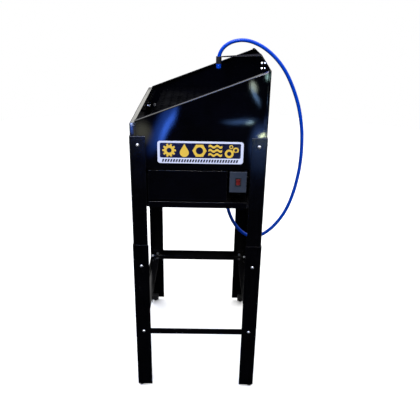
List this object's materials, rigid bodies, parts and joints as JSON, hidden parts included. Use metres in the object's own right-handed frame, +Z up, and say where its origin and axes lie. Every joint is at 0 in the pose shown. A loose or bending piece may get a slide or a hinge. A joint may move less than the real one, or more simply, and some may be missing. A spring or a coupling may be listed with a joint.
{
  "type": "parts washer tank",
  "caption": "Free-standing parts washer: sloping open steel wash tub on angle legs, with a switch, a pump in its base and a hose that loops over the back to a nozzle",
  "frame": {"origin": "on the floor, under the middle of the machine without its free hose", "axes": "+X towards the machine's right end, where the switch is; +Y towards the high back wall; +Z up"},
  "size_m": [0.5672, 0.5636, 1.153],
  "materials": {
    "cabinet_paint": "glossy black enamel",
    "frame_paint": "satin black powder coat",
    "basin_paint": "black enamel",
    "bare_steel": "bare or galvanised steel",
    "zinc": "bright zinc plating",
    "brass": "turned brass",
    "foot_rubber": "moulded black rubber",
    "pump_plastic": "moulded dark grey plastic",
    "black_plastic": "moulded black plastic",
    "magnet": "sintered magnet",
    "hose_blue": "glossy blue polyurethane",
    "switch_paint": "satin grey-blue paint",
    "rocker_red": "translucent red plastic",
    "label": "printed plastic film"
  },
  "bodies": {
    "cabinet": {"upper_leg_front_right": "frame_paint", "upper_leg_front_left": "frame_paint", "upper_leg_back_right": "frame_paint", "upper_leg_back_left": "frame_paint", "lower_leg_front_right": "frame_paint", "lower_leg_front_left": "frame_paint", "lower_leg_back_right": "frame_paint", "lower_leg_back_left": "frame_paint", "foot_front_right": "foot_rubber", "foot_front_left": "foot_rubber", "foot_back_right": "foot_rubber", "foot_back_left": "foot_rubber", "side_bar_right": "frame_paint", "side_bar_left": "frame_paint", "front_bar": "frame_paint", "back_bar": "frame_paint", "base_rail_right": "cabinet_paint", "base_rail_left": "cabinet_paint", "base_rail_front": "cabinet_paint", "base_rail_back": "cabinet_paint", "base_plate": "cabinet_paint", "base_panel_right": "cabinet_paint", "base_panel_left": "cabinet_paint", "base_panel_front": "cabinet_paint", "base_panel_back": "cabinet_paint", "front_wall": "cabinet_paint", "back_wall": "cabinet_paint", "end_panel_right": "cabinet_paint", "end_panel_left": "cabinet_paint", "basin_floor": "basin_paint", "tray_ledge_right": "frame_paint", "tray_ledge_left": "frame_paint", "reservoir": "cabinet_paint", "drain_plug": "brass", "suction_tube": "pump_plastic", "pump_volute": "pump_plastic", "pump_cover": "black_plastic", "motor_stator": "bare_steel", "motor_cap": "black_plastic", "pump_bracket": "bare_steel", "hose_fitting": "black_plastic", "hose": "hose_blue", "nozzle_arm": "cabinet_paint", "nozzle_holder": "black_plastic", "nozzle_tip": "hose_blue", "switch_box": "switch_paint", "switch_bracket": "cabinet_paint", "switch_housing": "black_plastic", "label_plate": "label", "cable_gland": "black_plastic", "frame_bolts": "zinc", "frame_nuts": "zinc", "arm_bolts": "zinc", "arm_nuts": "zinc"},
    "rocker_body": {"rocker": "rocker_red"},
    "pump_rotor": {"impeller": "pump_plastic", "motor_rotor": "magnet"},
    "tray_body": {"wash_tray": "basin_paint"},
    "strainer_body": {"strainer": "bare_steel"}
  },
  "joints": [
    {"name": "rocker_hinge", "type": "hinge", "parent": "cabinet", "child": "rocker_body", "pos_m": [0.2725, 0.119, 0.77], "axis": [0, -1, 0], "range_deg": [0, 16]},
    {"name": "pump_spin", "type": "hinge", "parent": "cabinet", "child": "pump_rotor", "pos_m": [0.022, 0.119, 0.726], "axis": [0, 1, 0], "continuous": true},
    {"name": "tray_lift", "type": "slide", "parent": "cabinet", "child": "tray_body", "axis": [0, 0, 1], "range_m": [0, 0.15]},
    {"name": "strainer_lift", "type": "slide", "parent": "cabinet", "child": "strainer_body", "axis": [0, -0.0436, 0.999], "range_m": [0, 0.02]}
  ]
}
